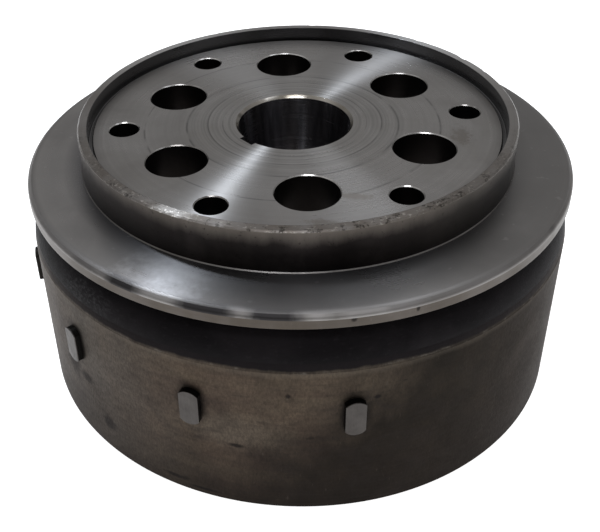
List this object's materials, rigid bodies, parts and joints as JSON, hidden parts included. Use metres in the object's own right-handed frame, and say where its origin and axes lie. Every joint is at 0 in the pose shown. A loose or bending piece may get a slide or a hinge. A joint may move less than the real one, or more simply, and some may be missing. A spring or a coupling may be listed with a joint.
{
  "type": "flywheel",
  "caption": "Cup-shaped alternator flywheel: flanged hub with a raised lip, tapered keyed bore and two rings of holes, magnets inside, trigger tabs outside.",
  "frame": {"origin": "centre of the open rim of the cup, on the axis of rotation, at the bottom of the object", "axes": "+Z along the axis of rotation from the open rim to the hub face; +X halfway along the stretch of wall that has no trigger tabs, to within 15 degrees"},
  "size_m": [0.1466, 0.1466, 0.0726],
  "materials": {
    "turned_steel": "turned and worn, satin, with fine circular tool marks",
    "oxidised_steel": "turned wall with brown-grey oxide and stains, black as-forged shoulder",
    "tab_steel": "smooth, bare and slightly polished",
    "magnet": "ground ferrite, dull dark grey",
    "cage_resin": "moulded black resin",
    "stainless": "drawn thin sheet, satin"
  },
  "bodies": {
    "root": {"hub_flange": "turned_steel", "rotor_cup": "oxidised_steel", "trigger_tab_1": "tab_steel", "trigger_tab_2": "tab_steel", "trigger_tab_3": "tab_steel", "trigger_tab_4": "tab_steel", "trigger_tab_5": "tab_steel", "trigger_tab_6": "tab_steel", "trigger_tab_7": "tab_steel", "trigger_tab_8": "tab_steel", "trigger_tab_9": "tab_steel", "magnet_01": "magnet", "magnet_02": "magnet", "magnet_03": "magnet", "magnet_04": "magnet", "magnet_05": "magnet", "magnet_06": "magnet", "magnet_07": "magnet", "magnet_08": "magnet", "magnet_09": "magnet", "magnet_10": "magnet", "magnet_11": "magnet", "magnet_12": "magnet", "magnet_cage": "cage_resin", "magnet_sleeve": "stainless"}
  },
  "joints": []
}
